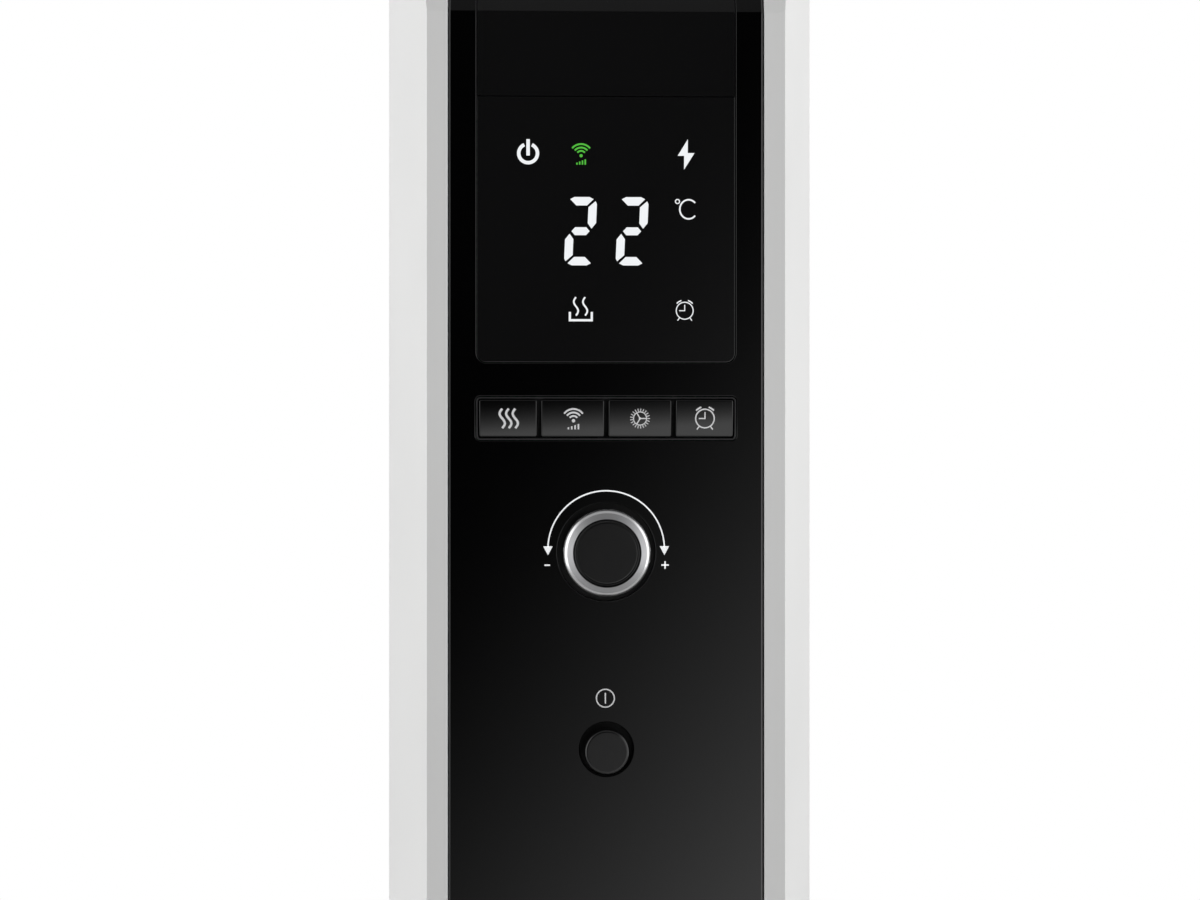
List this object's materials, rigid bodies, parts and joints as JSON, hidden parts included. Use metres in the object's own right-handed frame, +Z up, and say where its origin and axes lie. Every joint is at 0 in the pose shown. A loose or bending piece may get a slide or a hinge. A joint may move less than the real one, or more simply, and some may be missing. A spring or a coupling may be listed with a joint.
{
  "type": "oil filled radiator heater",
  "caption": "Oil filled radiator heater on swivel castors, with pressed fins and a flared control housing holding a display, keys, a turning knob and a push button.",
  "frame": {"origin": "on the floor plane, in the middle of the heater's length and width", "axes": "+Z up, -Y out of the control fascia, +X to the right of someone facing the fascia"},
  "size_m": [0.24, 0.4352, 0.64],
  "materials": {
    "fin_enamel": "white baked enamel, semi-gloss",
    "housing_white": "white ABS, satin",
    "fascia_black": "black, high gloss",
    "window_black": "smoked display window, high gloss",
    "key_black": "black keys, semi-gloss, light printed symbols",
    "trim_black": "black, matt",
    "knob_metal": "satin chromed ring",
    "zinc_steel": "zinc plated",
    "foot_enamel": "white enamel",
    "castor_black": "black nylon",
    "wheel_rubber": "dark grey tread",
    "board_green": "circuit board, solder mask",
    "module_grey": "moulded grey",
    "brass": "turned"
  },
  "bodies": {
    "root": {"fin_1": "fin_enamel", "fin_2": "fin_enamel", "fin_3": "fin_enamel", "fin_4": "fin_enamel", "fin_5": "fin_enamel", "fin_6": "fin_enamel", "fin_7": "fin_enamel", "fin_8": "fin_enamel", "fin_9": "fin_enamel", "lower_end_plug": "zinc_steel", "oil_filler_plug": "zinc_steel", "upper_front_plug": "zinc_steel", "heating_element": "zinc_steel", "element_flange": "brass", "front_foot_bar": "foot_enamel", "front_u_bolt": "zinc_steel", "front_left_wing_nut": "zinc_steel", "front_right_wing_nut": "zinc_steel", "rear_foot_bar": "foot_enamel", "rear_u_bolt": "zinc_steel", "rear_left_wing_nut": "zinc_steel", "rear_right_wing_nut": "zinc_steel", "housing_shell": "housing_white", "housing_back_plate": "zinc_steel", "housing_screw_left": "zinc_steel", "housing_screw_right": "zinc_steel", "fascia_panel": "fascia_black", "upper_cover": "fascia_black", "display_window": "window_black", "key_tray": "trim_black", "rotary_encoder": "module_grey", "power_switch": "module_grey", "display_module": "module_grey", "control_board": "board_green", "power_board": "board_green", "terminal_block": "module_grey", "tilt_switch": "trim_black", "thermal_cutout": "zinc_steel", "cable_gland": "trim_black"},
    "knob": {"knob_ring": "knob_metal", "knob_cap": "fascia_black", "knob_shaft": "zinc_steel"},
    "power_button": {"power_button": "key_black"},
    "heat_key": {"heat_key": "key_black"},
    "wireless_key": {"wireless_key": "key_black"},
    "settings_key": {"settings_key": "key_black"},
    "timer_key": {"timer_key": "key_black"},
    "castor_front_left": {"castor_fork_front_left": "castor_black", "castor_axle_front_left": "zinc_steel"},
    "wheel_front_left": {"castor_wheel_front_left": "wheel_rubber"},
    "castor_front_right": {"castor_fork_front_right": "castor_black", "castor_axle_front_right": "zinc_steel"},
    "wheel_front_right": {"castor_wheel_front_right": "wheel_rubber"},
    "castor_rear_left": {"castor_fork_rear_left": "castor_black", "castor_axle_rear_left": "zinc_steel"},
    "wheel_rear_left": {"castor_wheel_rear_left": "wheel_rubber"},
    "castor_rear_right": {"castor_fork_rear_right": "castor_black", "castor_axle_rear_right": "zinc_steel"},
    "wheel_rear_right": {"castor_wheel_rear_right": "wheel_rubber"}
  },
  "joints": [
    {"name": "knob_turn", "type": "hinge", "parent": "root", "child": "knob", "pos_m": [0, -0.20765, 0.4052], "axis": [0, 1, 0], "continuous": true},
    {"name": "power_button_press", "type": "slide", "parent": "root", "child": "power_button", "axis": [0, 1, 0], "range_m": [0, 0.003], "stiffness_N_per_m": 1000, "springref_m": -0.0005},
    {"name": "heat_key_press", "type": "slide", "parent": "root", "child": "heat_key", "axis": [0, 1, 0], "range_m": [0, 0.001], "stiffness_N_per_m": 1500, "springref_m": -0.0003},
    {"name": "wireless_key_press", "type": "slide", "parent": "root", "child": "wireless_key", "axis": [0, 1, 0], "range_m": [0, 0.001], "stiffness_N_per_m": 1500, "springref_m": -0.0003},
    {"name": "settings_key_press", "type": "slide", "parent": "root", "child": "settings_key", "axis": [0, 1, 0], "range_m": [0, 0.001], "stiffness_N_per_m": 1500, "springref_m": -0.0003},
    {"name": "timer_key_press", "type": "slide", "parent": "root", "child": "timer_key", "axis": [0, 1, 0], "range_m": [0, 0.001], "stiffness_N_per_m": 1500, "springref_m": -0.0003},
    {"name": "castor_swivel_front_left", "type": "hinge", "parent": "root", "child": "castor_front_left", "pos_m": [-0.105, -0.07635, 0.04], "axis": [0, 0, 1], "continuous": true},
    {"name": "wheel_spin_front_left", "type": "hinge", "parent": "castor_front_left", "child": "wheel_front_left", "pos_m": [-0.105, -0.06435, 0.02], "axis": [1, 0, 0], "continuous": true},
    {"name": "castor_swivel_front_right", "type": "hinge", "parent": "root", "child": "castor_front_right", "pos_m": [0.105, -0.07635, 0.04], "axis": [0, 0, 1], "continuous": true},
    {"name": "wheel_spin_front_right", "type": "hinge", "parent": "castor_front_right", "child": "wheel_front_right", "pos_m": [0.105, -0.06435, 0.02], "axis": [1, 0, 0], "continuous": true},
    {"name": "castor_swivel_rear_left", "type": "hinge", "parent": "root", "child": "castor_rear_left", "pos_m": [-0.105, 0.17565, 0.04], "axis": [0, 0, 1], "continuous": true},
    {"name": "wheel_spin_rear_left", "type": "hinge", "parent": "castor_rear_left", "child": "wheel_rear_left", "pos_m": [-0.105, 0.18765, 0.02], "axis": [1, 0, 0], "continuous": true},
    {"name": "castor_swivel_rear_right", "type": "hinge", "parent": "root", "child": "castor_rear_right", "pos_m": [0.105, 0.17565, 0.04], "axis": [0, 0, 1], "continuous": true},
    {"name": "wheel_spin_rear_right", "type": "hinge", "parent": "castor_rear_right", "child": "wheel_rear_right", "pos_m": [0.105, 0.18765, 0.02], "axis": [1, 0, 0], "continuous": true}
  ]
}
